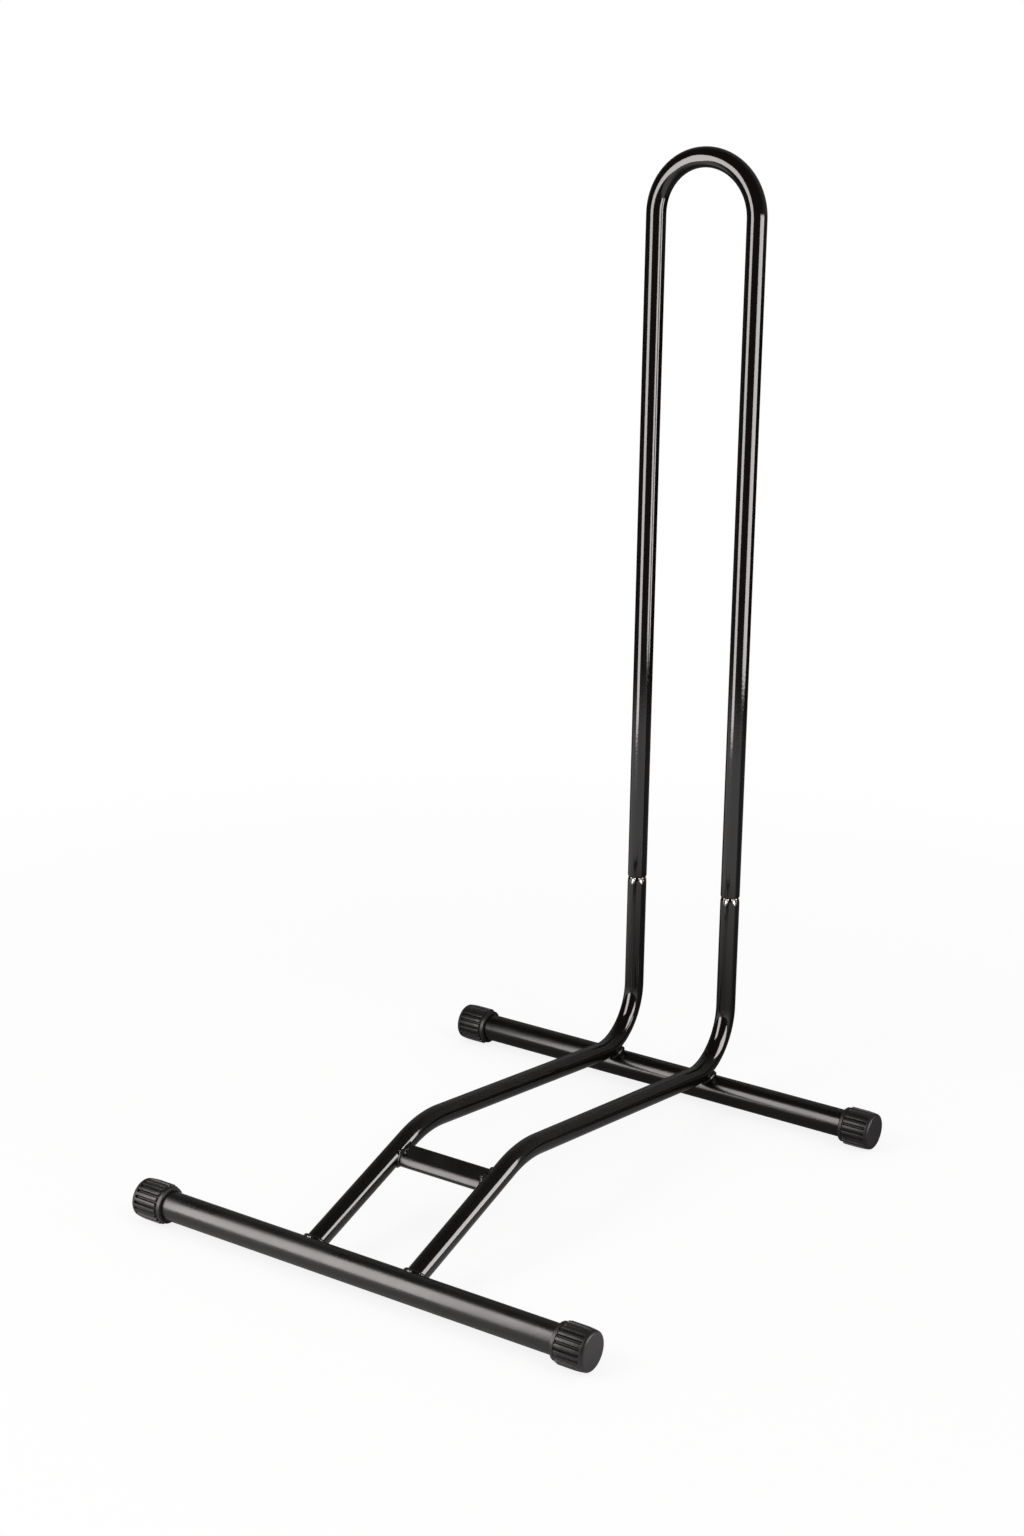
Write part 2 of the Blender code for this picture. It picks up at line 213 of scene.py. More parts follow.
bar = start_ring(
    "front_crossbar_tube", bar_radius, (-bar_length / 2, front_y, bar_z), Vector((1, 0, 0))
)
draw_out((bar_length, 0, 0), steps=24)
face_outwards()
give_wall(bar, tube_wall)
chamfer_ends(bar, sawn_chamfer)
rear_bar = copy_of(bar, "rear_crossbar_tube", move=(0, rear_y - front_y, 0))
finish(bar, satin_coat, "base", "front_crossbar")
finish(rear_bar, semi_gloss_coat, "base", "rear_crossbar")

# The two side rails.
# Each is one length of 16 mm steel tube. Its front end is coped to sit on the front bar, and it
# is bent down over the rear bar and then upright. Its top end is swaged down into a spigot with
# six pressed flutes, whose pointed ends show below the hoop as bare, bright metal.

rail_radius = 0.008
rail_x = 0.045
peak_run = 0.145
peak_rise = 0.0499
front_slope = math.atan2(peak_rise, peak_run)
rear_slope = 0.127511
front_bend = 0.092
rear_bend = 0.047
post_y = 0.230626
seam_z = 0.176152
shoulder = 0.0022
spigot_radius = 0.0066
spigot_length = 0.038
tip_radius = spigot_radius - 0.0006
tip_height = 0.0012
flute_step = math.pi / 3
flute_depth = 0.0020
flute_radius = 0.0028
flute_run_out = 0.0055
bare_below_seam = 0.0047
bare_columns = 6.5
joint_gap = 0.0003
hair = 0.0001

# Bare carbon steel where the coating was masked off before spraying and the press tool has
# burnished it: a pale silver with fine lines along the tube from being drawn through the tool.
bare_steel, tree = new_material("burnished_bare_steel")
place = add_node(tree, "ShaderNodeTexCoord").outputs["Object"]
lines = add_node(tree, "ShaderNodeMapping", {"Scale": (1.0, 1.0, 0.06)}, {"Vector": place})
drawn = add_node(
    tree, "ShaderNodeTexNoise", {"Scale": 2600.0, "Detail": 2.0}, {"Vector": lines.outputs[0]}
)
metal_tone = add_node(
    tree, "ShaderNodeMix",
    {"data_type": "RGBA", 6: linear("#b3b1ae"), 7: linear("#d6d4d1")},
    {0: drawn.outputs["Fac"]},
)
metal_gloss = add_node(
    tree, "ShaderNodeMapRange", {"To Min": 0.22, "To Max": 0.42},
    {"Value": drawn.outputs["Fac"]},
)
metal_skin = add_node(
    tree, "ShaderNodeBump", {"Strength": 0.3, "Distance": 0.00003},
    {"Height": drawn.outputs["Fac"]},
)
steel = add_node(
    tree, "ShaderNodeBsdfPrincipled", {"Metallic": 1.0},
    {
        "Base Color": metal_tone.outputs[2],
        "Roughness": metal_gloss.outputs[0],
        "Normal": metal_skin.outputs[0],
    },
)
add_node(tree, "ShaderNodeOutputMaterial", {}, {"Surface": steel.outputs[0]})


def choose(piece, wanted):
    """Selects in edit mode the points whose place passes the test, and nothing else."""
    bpy.ops.mesh.select_all(action="DESELECT")
    shape = bmesh.from_edit_mesh(piece.data)
    for point in shape.verts:
        if wanted(point.co):
            point.select = True
    shape.select_flush(True)
    bmesh.update_edit_mesh(piece.data)


def cut_away(piece, tool):
    """Cuts a closed tool out of a piece, and removes the tool."""
    saw = piece.modifiers.new("cut", "BOOLEAN")
    saw.operation = "DIFFERENCE"
    saw.solver = "EXACT"
    saw.object = tool
    bpy.context.view_layer.objects.active = piece
    bpy.ops.object.modifier_apply(modifier="cut")
    bpy.data.objects.remove(tool)


def rod(radius, length, centre, along):
    """A plain solid rod, used as a cutting tool."""
    bpy.ops.object.select_all(action="DESELECT")
    turn = Vector((0, 0, 1)).rotation_difference(along).to_euler()
    bpy.ops.mesh.primitive_cylinder_add(
        vertices=96, radius=radius, depth=length, location=centre, rotation=turn
    )
    return bpy.context.object


rail_foot = Vector((rail_x, front_y, bar_z))
rail_way = Vector((0, math.cos(front_slope), math.sin(front_slope)))
down_way = Vector((0, math.cos(rear_slope), -math.sin(rear_slope)))
peak = rail_foot + Vector((0, peak_run, peak_rise))
heel = peak + down_way * (post_y - peak.y) / math.cos(rear_slope)
front_turn = front_slope + rear_slope
rear_turn = math.pi / 2 + rear_slope
front_tangent = front_bend * math.tan(front_turn / 2)
rear_tangent = rear_bend * math.tan(rear_turn / 2)
bend_start = peak - rail_way * front_tangent
below = Vector((0, math.sin(front_slope), -math.cos(front_slope)))
swage_start = seam_z - shoulder
flute_start = seam_z - flute_run_out

rail = start_ring("right_rail_tube", rail_radius, rail_foot, rail_way)
draw_out(bend_start - rail_foot, steps=10)
bpy.ops.mesh.spin(
    steps=16, angle=front_turn, center=bend_start + below * front_bend, axis=(1, 0, 0)
)
draw_out(heel - down_way * rear_tangent - peak - down_way * front_tangent, steps=12)
bpy.ops.mesh.spin(
    steps=40, angle=-rear_turn,
    center=(rail_x, post_y - rear_bend, heel.z + rear_tangent), axis=(1, 0, 0),
)
draw_out((0, 0, flute_start - heel.z - rear_tangent), steps=6)
draw_out((0, 0, swage_start - flute_start), steps=12)
shoulder_steps = 6
ring_radius = rail_radius
for step in range(shoulder_steps):
    next_radius = rail_radius + (spigot_radius - rail_radius) * (step + 1) / shoulder_steps
    draw_out((0, 0, shoulder / shoulder_steps))
    middle = (rail_x, post_y, swage_start + shoulder * (step + 1) / shoulder_steps)
    size = next_radius / ring_radius
    bpy.ops.transform.resize(value=(size, size, 1), center_override=middle)
    ring_radius = next_radius
draw_out((0, 0, spigot_length - tip_height), steps=8)
draw_out((0, 0, tip_height))
size = tip_radius / spigot_radius
bpy.ops.transform.resize(
    value=(size, size, 1), center_override=(rail_x, post_y, seam_z + spigot_length)
)

column = 2 * math.pi / tube_sides
flute_columns = 6
flute_middle = rail_radius - flute_depth + flute_radius


def off_axis(point):
    """A point's distance from the post's axis, and its columns away from the nearest flute."""
    x, y = point.x - rail_x, point.y - post_y
    turned = (math.atan2(y, x) - flute_step / 2) % flute_step
    return math.hypot(x, y), round(min(turned, flute_step - turned) / column)


# The flutes are pressed in height by height. Each starts as a point, and is at its full depth
# and width from the middle of the shoulder upwards.
heights = sorted({
    round(v.co.z, 6) for v in bmesh.from_edit_mesh(rail.data).verts
    if v.co.z > flute_start + hair
})
for height in heights:
    grown = min(1.0, (height - flute_start) / (flute_run_out - shoulder / 2))
    bite = flute_radius - flute_depth * (1 - grown)
    full = rail_radius
    if height > swage_start:
        share = min(1.0, (height - swage_start) / shoulder)
        full = rail_radius + (spigot_radius - rail_radius) * share
    if height > seam_z + spigot_length - hair:
        full = tip_radius
    for away in range(flute_columns):
        reach = flute_middle * math.sin(away * column)
        if reach >= bite:
            continue
        pressed = flute_middle * math.cos(away * column) - math.sqrt(bite**2 - reach**2)
        if pressed >= full:
            continue
        choose(rail, lambda p: abs(p.z - height) < hair / 5 and off_axis(p)[1] == away)
        bpy.ops.transform.resize(
            value=(pressed / full, pressed / full, 1), center_override=(rail_x, post_y, height)
        )

rail.data.materials.append(glossy_coat)
rail.data.materials.append(bare_steel)


def masked_off(point):
    """Whether a point was kept free of coat: the spigot, and a V below it at each flute."""
    opened = (point.z - seam_z) / bare_below_seam + 1
    in_flute = opened > 0 and off_axis(point)[1] <= bare_columns * math.sqrt(opened)
    return in_flute or point.z > seam_z + 4 * hair


choose(rail, masked_off)
rail.active_material_index = 1
bpy.ops.object.material_slot_assign()
face_outwards()
give_wall(rail, tube_wall)
cut_away(rail, rod(bar_radius + joint_gap, 0.06, rail_foot, Vector((1, 0, 0))))
left_rail = copy_of(rail, "left_rail_tube", move=(-2 * rail_x, 0, 0))
finish(rail, glossy_coat, "base", "right_rail")
finish(left_rail, glossy_coat, "base", "left_rail")

# The brace.
# A short length of 19 mm steel tube between the rails' sloping parts, pressed flat along its
# upper front. Its ends are notched in a fish-mouth press so that they wrap round the inner half
# of each rail, and are welded there.

brace_radius = 0.0095
brace_stop = 0.0036
brace_run = 0.1093
brace_centre = rail_foot + Vector((-rail_x, brace_run, brace_run * math.tan(front_slope)))
flat_turn = math.radians(115)
flat_height = 0.00255
flat_end = math.radians(162.6)
front_radius = 0.0081
front_centre = Vector((0, -0.00023, -0.0062))
front_end = math.radians(240)


def brace_section(angle):
    """The point of the brace's section at an angle round its line: on the flat, on the tighter
    round of the front edge below it, or on the plain tube."""
    way = Vector((0, math.cos(angle), math.sin(angle)))
    angle %= 2 * math.pi
    if angle <= flat_end:
        steepness = math.cos(angle - flat_turn)
        length = flat_height / steepness if steepness > 0.1 else brace_radius
    elif angle <= front_end:
        nearest = front_centre.dot(way)
        length = nearest + math.sqrt(
            front_radius**2 - front_centre.length_squared + nearest**2
        )
    else:
        length = brace_radius
    return way * min(length, brace_radius)


brace_end = rail_x - brace_stop
brace = start_ring(
    "brace_tube_piece", brace_radius, brace_centre - Vector((brace_end, 0, 0)),
    Vector((1, 0, 0)),
)
bpy.ops.object.mode_set(mode="OBJECT")
for corner in brace.data.vertices:
    from_centre = corner.co - brace_centre
    corner.co = brace_centre + brace_section(math.atan2(from_centre.z, from_centre.y))
    corner.co.x = -brace_end
bpy.ops.object.mode_set(mode="EDIT")
bpy.ops.mesh.select_all(action="SELECT")
bpy.ops.mesh.vertices_smooth(factor=0.5, repeat=2)
bpy.ops.mesh.edge_face_add()
draw_out((2 * brace_end, 0, 0), steps=12)
face_outwards()
for side in (-1, 1):
    beside = brace_centre + Vector((side * rail_x, 0, 0))
    cut_away(brace, rod(rail_radius + joint_gap, 0.05, beside, rail_way))
finish(brace, satin_coat, "base", "brace_tube")

# The weld beads.
# Gas-shielded weld beads laid by hand: round each rail's foot on the front bar, round the
# brace's ends, and along both sides of each rail where it crosses the rear bar. They are coated
# with the tubes, and show the welder's ripples and small swellings through the coat.

ripple_pitch = 0.0014
front_bead_radius = 0.0024
brace_bead_radius = 0.0028
rear_bead_radius = 0.0026
rear_bead_length = 0.045
rear_half_width = 0.82 * rail_radius
rear_half_depth = 0.75 * bar_radius
rear_end_angle = math.radians(66)
contact_radius = 0.0075

# The same black coat where it lies over a bead: a little glossier, because it runs thick there,
# and uneven, with low lumps and a fine grit of spatter under it.
weld_coat, tree = new_material("powder_coated_weld")
place = add_node(tree, "ShaderNodeTexCoord").outputs["Object"]
spatter = add_node(
    tree, "ShaderNodeTexNoise", {"Scale": 700.0, "Detail": 3.0}, {"Vector": place}
)
lumps = add_node(
    tree, "ShaderNodeTexNoise", {"Scale": 160.0, "Detail": 1.0}, {"Vector": place}
)
weld_tone = add_node(
    tree, "ShaderNodeMix",
    {"data_type": "RGBA", 6: linear("#0a0706"), 7: linear("#14100e")},
    {0: lumps.outputs["Fac"]},
)
weld_skin = add_node(
    tree, "ShaderNodeBump", {"Strength": 0.35, "Distance": 0.0003},
    {"Height": lumps.outputs["Fac"]},
)
weld_grit = add_node(
    tree, "ShaderNodeBump", {"Strength": 0.15, "Distance": 0.0001},
    {"Height": spatter.outputs["Fac"], "Normal": weld_skin.outputs[0]},
)
weld_shader = add_node(
    tree, "ShaderNodeBsdfPrincipled", {"Roughness": 0.17, "IOR": 1.5},
    {"Base Color": weld_tone.outputs[2], "Normal": weld_grit.outputs[0]},
)
add_node(tree, "ShaderNodeOutputMaterial", {}, {"Surface": weld_shader.outputs[0]})


def lay_bead(name, centre, along, across, joint_radius, bead_radius, rings, place_ring):
    """A bead that starts as a torus round a joint. Each of its rings is then moved along the
    joint's axis and swollen, as place_ring(angle) says for its angle round the joint."""
    bpy.ops.object.select_all(action="DESELECT")
    turn = Vector((0, 0, 1)).rotation_difference(along).to_euler()
    bpy.ops.mesh.primitive_torus_add(
        location=centre, rotation=turn, major_radius=joint_radius, minor_radius=bead_radius,
        major_segments=rings, minor_segments=14,
    )
    bead = bpy.context.object
    bead.name = name
    bead.data.name = name
    bpy.ops.object.transform_apply(location=True, rotation=True, scale=True)
    bpy.ops.object.mode_set(mode="EDIT")
    bpy.ops.mesh.select_mode(type="VERT")
    upward = along.cross(across)
    torus = bmesh.from_edit_mesh(bead.data)
    groups = {}
    for point in torus.verts:
        out = point.co - Vector(centre)
        angle = math.atan2(out.dot(upward), out.dot(across))
        groups.setdefault(round(angle * rings / (2 * math.pi) * 2) % (2 * rings), []).append(
            point.index
        )
    for key, members in groups.items():
        angle = key * math.pi / rings
        move, size = place_ring(angle)
        bpy.ops.mesh.select_all(action="DESELECT")
        shape = bmesh.from_edit_mesh(bead.data)
        shape.verts.ensure_lookup_table()
        for index in members:
            shape.verts[index].select = True
        shape.select_flush(True)
        bmesh.update_edit_mesh(bead.data)
        middle = Vector(centre) + joint_radius * (
            across * math.cos(angle) + upward * math.sin(angle)
        )
        bpy.ops.transform.resize(value=(size, size, size), center_override=middle)
        bpy.ops.transform.translate(value=move)
    face_outwards()
    return bead


def ripple(angle, length):
    """How much a bead swells at an angle, for a ripple every 1.4 mm and slower swellings."""
    ripples = round(length / ripple_pitch)
    return 1 + 0.03 * math.cos(ripples * angle) + 0.06 * math.sin(3 * angle + 1.0)


def front_ring(angle):
    """Where a ring of a front bead goes, on the front bar's round, and its size."""
    out = math.sqrt(bar_radius**2 - (rail_radius * math.sin(angle))**2)
    return rail_way * out, 0.85 * ripple(angle, 2 * math.pi * rail_radius)


def brace_ring(angle):
    """Where a ring of the brace's bead goes, in the corner of brace and rail, and its size. It is
    fullest where the welder began, with a smaller heap where the arc was broken off."""
    point = brace_section(angle)
    above_rail = point.dot(Vector((0, -math.sin(front_slope), math.cos(front_slope))))
    reach = max(brace_stop, math.sqrt(max(0.0, rail_radius**2 - above_rail**2)))
    start = 0.95 * math.exp(-((angle - math.radians(135)) / math.radians(24))**2)
    stop = 0.3 * math.exp(-((angle - math.radians(60)) / math.radians(16))**2)
    size = (0.6 + start + stop) * ripple(angle, 2 * math.pi * brace_radius)
    torus_point = brace_radius * Vector((0, math.cos(angle), math.sin(angle)))
    return point - torus_point - Vector((reach, 0, 0)), size


front_weld = lay_bead(
    "front_weld_right", rail_foot, rail_way, Vector((1, 0, 0)), rail_radius,
    front_bead_radius, 180, front_ring,
)
front_weld_left = copy_of(front_weld, "front_weld_left", move=(-2 * rail_x, 0, 0))
finish(front_weld, weld_coat, "base", "weld_front_right")
finish(front_weld_left, weld_coat, "base", "weld_front_left")

brace_weld = lay_bead(
    "brace_weld_right", brace_centre + Vector((rail_x, 0, 0)), Vector((1, 0, 0)),
    Vector((0, 1, 0)), brace_radius, brace_bead_radius, 200, brace_ring,
)
brace_weld_left = copy_of(brace_weld, "brace_weld_left", mirrored=True)
finish(brace_weld, weld_coat, "base", "weld_brace_right")
finish(brace_weld_left, weld_coat, "base", "weld_brace_left")

bend_centre = Vector((0, post_y - rear_bend, heel.z + rear_tangent))
bar_centre = Vector((0, rear_y, bar_z))
contact_way = (bend_centre - bar_centre).normalized()
contact_along = Vector((0, contact_way.z, -contact_way.y))


def rear_ring(angle):
    """Where a ring of a rear bead goes, in the hollow between rail and bar, and its size, which
    falls off towards the bead's two ends."""
    across = rear_half_width * math.cos(angle)
    forward = rear_half_depth * math.sin(angle)
    rail_gap = rail_radius - math.sqrt(rail_radius**2 - across**2)
    bar_gap = bar_radius - math.sqrt(bar_radius**2 - forward**2)
    height = bar_radius + (rail_gap - bar_gap) / 2
    point = Vector((across, 0, 0)) + contact_along * forward + contact_way * height
    torus_point = contact_radius * (
        Vector((math.cos(angle), 0, 0)) + contact_along * math.sin(angle)
    )
    turned = (angle + math.pi) % (2 * math.pi) - math.pi
    taper = max(0.05, 1 - (turned / rear_end_angle)**4)
    return point - torus_point, taper * ripple(angle, rear_bead_length)


rear_weld = lay_bead(
    "rear_weld_right_outer", (rail_x, rear_y, bar_z), contact_way, Vector((1, 0, 0)),
    contact_radius, rear_bead_radius, 160, rear_ring,
)
bpy.ops.object.mode_set(mode="EDIT")
choose(rear_weld, lambda p: p.x < rail_x + rear_half_width * math.cos(rear_end_angle))
bpy.ops.mesh.delete(type="VERT")
bpy.ops.mesh.select_all(action="SELECT")
bpy.ops.mesh.fill_holes(sides=40)
face_outwards()
left_outer = copy_of(rear_weld, "rear_weld_left_outer", mirrored=True)
left_inner = copy_of(rear_weld, "rear_weld_left_inner", move=(-2 * rail_x, 0, 0))
right_inner = copy_of(left_outer, "rear_weld_right_inner", move=(2 * rail_x, 0, 0))
finish(rear_weld, weld_coat, "base", "weld_rear_right_outer")
finish(left_outer, weld_coat, "base", "weld_rear_left_outer")
finish(left_inner, weld_coat, "base", "weld_rear_left_inner")
finish(right_inner, weld_coat, "base", "weld_rear_right_inner")

# The four end caps.
# Moulded polypropylene, pressed onto the bars' ends. Each has a plain collar at its mouth, then
# twenty ribs with narrow grooves between them that stop short of a flat end with a soft edge.

cap_length = 0.027
cap_mouth = 0.201 - cap_length
cap_bore = 0.01155
cap_floor = 0.003
cap_sides = 240
mouth_radius = 0.0135
collar_radius = 0.0141
rib_radius = 0.015452
edge_start = 0.0246
edge_base = 0.0148
edge_radius = 0.0024
groove_step = 2 * math.pi / 20
cap_column = 2 * math.pi / cap_sides


# Black polypropylene as it leaves the mould: a plain charcoal with a fine satin grain, and a
# broad weak shine. In the grooves a darker, duller copy with a weaker shine paints the shade
# there.
def moulded_plastic(name, darkest, palest, glossiest, dullest, ior):
    """The plastic, with its two tones, its range of roughness and how strongly it mirrors."""
    material, tree = new_material(name)
    place = add_node(tree, "ShaderNodeTexCoord").outputs["Object"]
    grain = add_node(
        tree, "ShaderNodeTexNoise", {"Scale": 1600.0, "Detail": 2.0}, {"Vector": place}
    )
    flow = add_node(
        tree, "ShaderNodeTexNoise", {"Scale": 90.0, "Detail": 2.0}, {"Vector": place}
    )
    tone = add_node(
        tree, "ShaderNodeMix",
        {"data_type": "RGBA", 6: linear(darkest), 7: linear(palest)},
        {0: flow.outputs["Fac"]},
    )
    gloss = add_node(
        tree, "ShaderNodeMapRange", {"To Min": glossiest, "To Max": dullest},
        {"Value": flow.outputs["Fac"]},
    )
    skin = add_node(
        tree, "ShaderNodeBump", {"Strength": 0.3, "Distance": 0.00005},
        {"Height": grain.outputs["Fac"]},
    )
    plastic = add_node(
        tree, "ShaderNodeBsdfPrincipled", {"IOR": ior},
        {"Base Color": tone.outputs[2], "Roughness": gloss.outputs[0],
         "Normal": skin.outputs[0]},
    )
    add_node(tree, "ShaderNodeOutputMaterial", {}, {"Surface": plastic.outputs[0]})
    return material


polypropylene = moulded_plastic(
    "moulded_polypropylene", "#1d191a", "#262122", 0.36, 0.46, 1.40
)
# Painted shade: a darker, duller copy of the plastic for the faces in the grooves.
painted_shade_polypropylene = moulded_plastic(
    "polypropylene_with_painted_groove_shade", "#141213", "#1a1718", 0.5, 0.6, 1.32
)

# Each ring of the cap from its mouth to its end: distance from the mouth, and radius.
cap_rings = [
    (0.0002, 0.0139), (0.0006, collar_radius), (0.0029, collar_radius), (0.0031, 0.0136),
    (0.0037, 0.0136), (0.0038, 0.0150), (0.0040, 0.0153), (0.0044, rib_radius),
    (0.0100, rib_radius), (0.0175, rib_radius), (0.0200, 0.01533), (0.0229, 0.01505),
    (0.0233, 0.0150), (0.0237, 0.01495), (edge_start, edge_base),
]
for step in range(1, 7):
    angle = math.radians(15 * step)
    cap_rings.append((edge_start + edge_radius * math.sin(angle),
                      edge_base - edge_radius * (1 - math.cos(angle))))
cap_rings.append((cap_length, 0.0118))

cap = start_ring(
    "cap_front_right_moulding", mouth_radius, (cap_mouth, front_y, bar_z), Vector((1, 0, 0)),
    sides=cap_sides,
)
at, ring_radius = 0.0, mouth_radius
for distance, radius in cap_rings:
    draw_out((distance - at, 0, 0))
    size = radius / ring_radius
    bpy.ops.transform.resize(
        value=(1, size, size), center_override=(cap_mouth + distance, front_y, bar_z)
    )
    at, ring_radius = distance, radius
bpy.ops.mesh.edge_face_add()
choose(cap, lambda p: p.x < cap_mouth + hair / 2)
draw_out((0, 0, 0))
size = cap_bore / mouth_radius
bpy.ops.transform.resize(value=(1, size, size), center_override=(cap_mouth, front_y, bar_z))
draw_out((cap_length - cap_floor, 0, 0))
bpy.ops.mesh.edge_face_add()


def columns_from_groove(point):
    """How many columns of points away the middle of the nearest groove is."""
    turned = (math.atan2(point.z - bar_z, point.y - front_y) - groove_step / 2) % groove_step
    return round(min(turned, groove_step - turned) / cap_column)


# The grooves are sunk column by column: a flat bottom, a sloping side and a softened edge.
for away, pressed in ((0, 0.0133), (1, 0.0133), (2, 0.0138), (3, 0.0153)):
    choose(
        cap,
        lambda p: 0.0031 < p.x - cap_mouth < 0.0235
        and math.hypot(p.y - front_y, p.z - bar_z) > 0.0145
        and columns_from_groove(p) == away,
    )
    size = pressed / rib_radius
    bpy.ops.transform.resize(
        value=(1, size, size), center_override=(cap_mouth, front_y, bar_z)
    )


def gets_painted_groove_shade(point):
    """Whether a point of the cap lies in a groove between ribs, or in the one by the collar.
    These faces take the painted groove shade.
    """
    outside = math.hypot(point.y - front_y, point.z - bar_z) > 0.0125
    between_ribs = 0.0036 < point.x - cap_mouth < 0.0238 and columns_from_groove(point) <= 1
    return outside and (between_ribs or 0.0030 < point.x - cap_mouth < 0.00385)


cap.data.materials.append(polypropylene)
cap.data.materials.append(painted_shade_polypropylene)
# The groove faces take the darker copy, which paints the shade in the grooves.
choose(cap, gets_painted_groove_shade)
cap.active_material_index = 1
bpy.ops.object.material_slot_assign()
face_outwards()

rear_cap = copy_of(cap, "cap_rear_right_moulding", move=(0, rear_y - front_y, 0))
left_cap = copy_of(cap, "cap_front_left_moulding", move=(0, 2 * front_y, 0), turn=math.pi)
rear_left_cap = copy_of(left_cap, "cap_rear_left_moulding", move=(0, rear_y - front_y, 0))
finish(cap, polypropylene, "base", "cap_front_right")
finish(left_cap, polypropylene, "base", "cap_front_left")
finish(rear_cap, polypropylene, "base", "cap_rear_right")
finish(rear_left_cap, polypropylene, "base", "cap_rear_left")

# The hoop.
# One long length of the rails' tube, bent through half a circle at its top and coated. Its two
# open ends are rolled in a little so that they start easily over the spigots.

hoop_seat = 0.176138
hoop_centre_z = 0.727
rolled_length = 0.0012

hoop = start_ring(
    "upper_hoop_tube", rail_radius, (-rail_x, post_y, hoop_seat), Vector((0, 0, 1))
)
draw_out((0, 0, rolled_length), steps=4)
draw_out((0, 0, hoop_centre_z - hoop_seat - rolled_length), steps=30)
bpy.ops.mesh.spin(
    steps=64, angle=-math.pi, center=(0, post_y, hoop_centre_z), axis=(0, 1, 0)
)
draw_out((0, 0, hoop_seat + rolled_length - hoop_centre_z), steps=30)
draw_out((0, 0, -rolled_length), steps=4)
face_outwards()
give_wall(hoop, tube_wall)
bpy.ops.object.mode_set(mode="EDIT")
for side in (-1, 1):
    middle = Vector((side * rail_x, post_y, 0))
    for lift, rolled in ((0.0, 0.0007), (0.0003, 0.00035), (0.0006, 0.00014), (0.0009, 0.00003)):
        choose(
            hoop,
            lambda p: abs(p.z - hoop_seat - lift) < hair / 2
            and p.x * side > 0
            and (Vector((p.x, p.y, 0)) - middle).length > 0.0075,
        )
        size = (rail_radius - rolled) / rail_radius
        bpy.ops.transform.resize(value=(size, size, 1), center_override=middle)
bpy.ops.object.mode_set(mode="OBJECT")
finish(hoop, glossy_coat, "hoop", "upper_hoop")

# The studio.
# A seamless pale floor and surround with soft lamps, as for a catalogue photograph. The floor
# keeps the stand's soft shadow.


def seen_as_background(tree):
    """A socket that is 1 for rays from the camera, from a shine or through glass."""
    ray = add_node(tree, "ShaderNodeLightPath")
    seen = add_node(
        tree, "ShaderNodeMath", {"operation": "MAXIMUM"},
        {0: ray.outputs["Is Camera Ray"], 1: ray.outputs["Is Glossy Ray"]},
    )
    seen_too = add_node(
        tree, "ShaderNodeMath", {"operation": "MAXIMUM"},
        {0: seen.outputs[0], 1: ray.outputs["Is Transmission Ray"]},
    )
    return seen_too.outputs[0]


bpy.ops.object.select_all(action="DESELECT")
bpy.ops.mesh.primitive_plane_add(size=12.0, location=(0, 0, 0))
floor = bpy.context.object
floor.name = "studio_floor"

# White paper: matt where light falls on it, so that it takes the stand's shadow, and pure white
# in the picture from half a metre out, where it runs into the surround.
paper, tree = new_material("white_paper_floor")
place = add_node(tree, "ShaderNodeTexCoord").outputs["Object"]
away = add_node(tree, "ShaderNodeVectorMath", {"operation": "LENGTH"}, {0: place})
fade = add_node(
    tree, "ShaderNodeMapRange",
    {"interpolation_type": "SMOOTHSTEP", "From Min": 0.4, "From Max": 1.3,
     "To Min": 0.85, "To Max": 1.0},
    {"Value": away.outputs["Value"]},
)
glow_share = add_node(
    tree, "ShaderNodeMath", {"operation": "MULTIPLY"},
    {0: seen_as_background(tree), 1: fade.outputs[0]},
)
matt = add_node(tree, "ShaderNodeBsdfDiffuse", {"Color": linear("#ffffff")})
glow = add_node(tree, "ShaderNodeEmission", {"Color": linear("#ffffff"), "Strength": 1.0})
both = add_node(
    tree, "ShaderNodeMixShader", {},
    {0: glow_share.outputs[0], 1: matt.outputs[0], 2: glow.outputs[0]},
)
add_node(tree, "ShaderNodeOutputMaterial", {}, {"Surface": both.outputs[0]})
floor.data.materials.append(paper)

world = bpy.data.worlds.new("studio_surround")
bpy.context.scene.world = world
world.use_nodes = True
world.node_tree.nodes.clear()
tree = world.node_tree
level = add_node(
    tree, "ShaderNodeMapRange", {"To Min": 0.6, "To Max": 1.0},
    {"Value": seen_as_background(tree)},
)
surround = add_node(
    tree, "ShaderNodeBackground", {"Color": linear("#ffffff")}, {"Strength": level.outputs[0]}
)
add_node(tree, "ShaderNodeOutputWorld", {}, {"Surface": surround.outputs[0]})

# A tent of black cloth round the stand with a grey sheet on its floor, seen only in the coat's
# shine. It keeps the bright surround out of it, so that the tubes' edges stay dark. Its tones are
# painted reflections: the sheet is darker close to the posts, a painted shade of the stand, is
# darker behind the stand and ends from a metre out, and the walls grow paler towards the back.
bpy.ops.mesh.primitive_uv_sphere_add(segments=48, ring_count=24, radius=5.0)
tent = bpy.context.object
tent.name = "black_cloth_tent"
bpy.ops.object.mode_set(mode="EDIT")
choose(tent, lambda p: p.z < -0.01)
bpy.ops.mesh.delete(type="VERT")
choose(tent, lambda p: p.z < 0.01)
bpy.ops.mesh.edge_face_add()
bpy.ops.mesh.select_all(action="SELECT")
bpy.ops.transform.translate(value=(0, 0, 0.0004))
bpy.ops.mesh.normals_make_consistent(inside=True)
bpy.ops.object.mode_set(mode="OBJECT")
cloth, tree = new_material("black_cloth_and_painted_shade")
place = add_node(tree, "ShaderNodeTexCoord").outputs["Object"]
off_post = add_node(
    tree, "ShaderNodeVectorMath", {"operation": "DISTANCE", 1: (0.0, 0.23, 0.0)}, {0: place}
)
